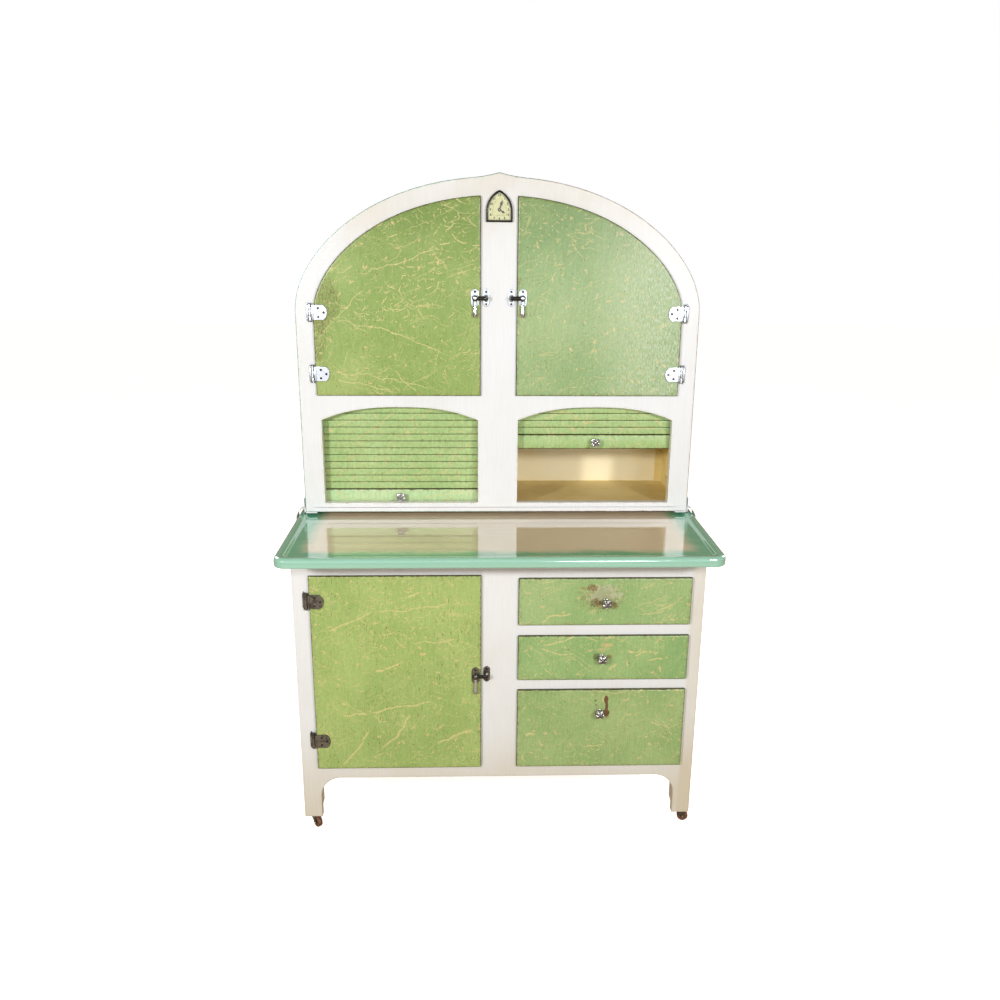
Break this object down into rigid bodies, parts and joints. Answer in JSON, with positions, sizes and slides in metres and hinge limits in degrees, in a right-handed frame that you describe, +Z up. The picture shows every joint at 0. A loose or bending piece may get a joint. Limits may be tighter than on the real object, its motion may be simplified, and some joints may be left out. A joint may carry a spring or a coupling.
{
  "type": "kitchen cabinet",
  "caption": "Arched-top vintage kitchen cabinet with hutch doors, sliding tambours, pull-out enamelled worktop, cupboard, drawers, clock and casters",
  "frame": {"origin": "Middle of the bounding box at floor level, under the wheels", "axes": "+Z up, front faces -Y, +X to the right of someone facing the front"},
  "size_m": [1.071, 0.632, 1.656],
  "materials": {
    "cream_paint": "aged cream enamel paint on wood, satin, yellowed towards the legs",
    "green_paint": "green paint on wood with cream streaks, scratches and worn edges",
    "inner_wood": "buff painted or plain wood inside",
    "mint_enamel": "glossy mint vitreous enamel on steel",
    "nickel": "bright worn nickel plate",
    "dark_nickel": "dull oxidised nickel plate",
    "clock_black": "black paint, satin",
    "dial_paint": "pale yellow-green dial",
    "clear_glass": "clear flat glass",
    "caster_steel": "worn steel with light rust",
    "wheel_wood": "turned hardwood, worn"
  },
  "bodies": {
    "carcass": {"base_posts": "cream_paint", "base_rails": "cream_paint", "base_apron": "cream_paint", "base_centre_stile": "cream_paint", "base_side_panels": "cream_paint", "base_back": "inner_wood", "base_inner_boards": "inner_wood", "drawer_runners": "inner_wood", "hutch_stiles": "cream_paint", "hutch_rails": "cream_paint", "hutch_arch_head": "cream_paint", "hutch_sides": "cream_paint", "hutch_roof": "cream_paint", "hutch_back": "inner_wood", "hutch_inner_boards": "inner_wood", "tambour_tracks": "inner_wood", "hutch_brackets": "cream_paint", "frame_hinge_leaves": "nickel", "latch_keepers": "nickel", "caster_sockets": "caster_steel", "clock_case": "clock_black", "clock_dial": "dial_paint", "clock_glass": "clear_glass"},
    "minute_hand": {"clock_minute_hand": "clock_black"},
    "hour_hand": {"clock_hour_hand": "clock_black"},
    "worktop": {"worktop_pan": "mint_enamel", "worktop_core": "inner_wood"},
    "left_door": {"upper_left_door": "green_paint", "upper_left_fittings": "nickel"},
    "left_lever": {"upper_left_lever": "nickel"},
    "right_door": {"upper_right_door": "green_paint", "upper_right_fittings": "nickel"},
    "right_lever": {"upper_right_lever": "nickel"},
    "lower_door": {"cupboard_door": "green_paint", "cupboard_fittings": "dark_nickel"},
    "lower_lever": {"cupboard_lever": "dark_nickel"},
    "top_drawer": {"top_drawer_front": "green_paint", "top_drawer_box": "inner_wood", "top_drawer_knob": "dark_nickel"},
    "middle_drawer": {"middle_drawer_front": "green_paint", "middle_drawer_box": "inner_wood", "middle_drawer_knob": "dark_nickel"},
    "bottom_drawer": {"bottom_drawer_front": "green_paint", "bottom_drawer_box": "inner_wood", "bottom_drawer_knob": "dark_nickel"},
    "left_tambour": {"left_tambour_bar": "green_paint", "left_tambour_slats": "green_paint", "left_tambour_knob": "nickel"},
    "right_tambour": {"right_tambour_bar": "green_paint", "right_tambour_slats": "green_paint", "right_tambour_knob": "nickel"},
    "front_left_caster": {"front_left_fork": "caster_steel"},
    "front_left_wheel": {"front_left_wheel": "wheel_wood"},
    "front_right_caster": {"front_right_fork": "caster_steel"},
    "front_right_wheel": {"front_right_wheel": "wheel_wood"},
    "rear_left_caster": {"rear_left_fork": "caster_steel"},
    "rear_left_wheel": {"rear_left_wheel": "wheel_wood"},
    "rear_right_caster": {"rear_right_fork": "caster_steel"},
    "rear_right_wheel": {"rear_right_wheel": "wheel_wood"}
  },
  "joints": [
    {"name": "left_door_hinge", "type": "hinge", "parent": "carcass", "child": "left_door", "pos_m": [-0.47, 0.034, 1.2465], "axis": [0, 0, -1], "range_deg": [0, 110]},
    {"name": "left_lever_pivot", "type": "hinge", "parent": "left_door", "child": "left_lever", "pos_m": [-0.0595, 0.025, 1.36], "axis": [0, -1, 0], "range_deg": [0, 90]},
    {"name": "right_door_hinge", "type": "hinge", "parent": "carcass", "child": "right_door", "pos_m": [0.47, 0.034, 1.2465], "axis": [0, 0, 1], "range_deg": [0, 110]},
    {"name": "right_lever_pivot", "type": "hinge", "parent": "right_door", "child": "right_lever", "pos_m": [0.0595, 0.025, 1.36], "axis": [0, 1, 0], "range_deg": [0, 90]},
    {"name": "lower_door_hinge", "type": "hinge", "parent": "carcass", "child": "lower_door", "pos_m": [-0.473, -0.206, 0.4575], "axis": [0, 0, -1], "range_deg": [0, 110]},
    {"name": "lower_lever_pivot", "type": "hinge", "parent": "lower_door", "child": "lower_lever", "pos_m": [-0.0595, -0.215, 0.448], "axis": [0, -1, 0], "range_deg": [0, 90]},
    {"name": "worktop_slide", "type": "slide", "parent": "carcass", "child": "worktop", "axis": [0, -1, 0], "range_m": [0, 0.22]},
    {"name": "top_drawer_slide", "type": "slide", "parent": "carcass", "child": "top_drawer", "axis": [0, -1, 0], "range_m": [0, 0.3]},
    {"name": "middle_drawer_slide", "type": "slide", "parent": "carcass", "child": "middle_drawer", "axis": [0, -1, 0], "range_m": [0, 0.3]},
    {"name": "bottom_drawer_slide", "type": "slide", "parent": "carcass", "child": "bottom_drawer", "axis": [0, -1, 0], "range_m": [0, 0.3]},
    {"name": "left_tambour_slide", "type": "slide", "parent": "carcass", "child": "left_tambour", "axis": [0, 0, 1], "range_m": [0, 0.148], "deforming": ["left_tambour_slats"]},
    {"name": "right_tambour_slide", "type": "slide", "parent": "carcass", "child": "right_tambour", "axis": [0, 0, 1], "range_m": [-0.148, 0], "deforming": ["right_tambour_slats"]},
    {"name": "minute_hand_turn", "type": "hinge", "parent": "carcass", "child": "minute_hand", "pos_m": [0, 0.035, 1.57], "axis": [0, 1, 0], "continuous": true},
    {"name": "hour_hand_turn", "type": "hinge", "parent": "carcass", "child": "hour_hand", "pos_m": [0, 0.036, 1.57], "axis": [0, 1, 0], "continuous": true},
    {"name": "front_left_swivel", "type": "hinge", "parent": "carcass", "child": "front_left_caster", "pos_m": [-0.485, -0.178, 0.045], "axis": [0, 0, 1], "continuous": true},
    {"name": "front_left_roll", "type": "hinge", "parent": "front_left_caster", "child": "front_left_wheel", "pos_m": [-0.47729, -0.18719, 0.0145], "axis": [-0.766, -0.6428, 0], "continuous": true},
    {"name": "front_right_swivel", "type": "hinge", "parent": "carcass", "child": "front_right_caster", "pos_m": [0.485, -0.178, 0.045], "axis": [0, 0, 1], "continuous": true},
    {"name": "front_right_roll", "type": "hinge", "parent": "front_right_caster", "child": "front_right_wheel", "pos_m": [0.49693, -0.17925, 0.0145], "axis": [-0.1045, -0.9945, 0], "continuous": true},
    {"name": "rear_left_swivel", "type": "hinge", "parent": "carcass", "child": "rear_left_caster", "pos_m": [-0.485, 0.294, 0.045], "axis": [0, 0, 1], "continuous": true},
    {"name": "rear_left_roll", "type": "hinge", "parent": "rear_left_caster", "child": "rear_left_wheel", "pos_m": [-0.49446, 0.28661, 0.0145], "axis": [-0.6157, 0.788, 0], "continuous": true},
    {"name": "rear_right_swivel", "type": "hinge", "parent": "carcass", "child": "rear_right_caster", "pos_m": [0.485, 0.294, 0.045], "axis": [0, 0, 1], "continuous": true},
    {"name": "rear_right_roll", "type": "hinge", "parent": "rear_right_caster", "child": "rear_right_wheel", "pos_m": [0.49613, 0.28951, 0.0145], "axis": [-0.3746, -0.9272, 0], "continuous": true}
  ],
  "couplings": [
    {"joint": "hour_hand_turn", "follows": "minute_hand_turn", "ratio": 0.083333}
  ]
}
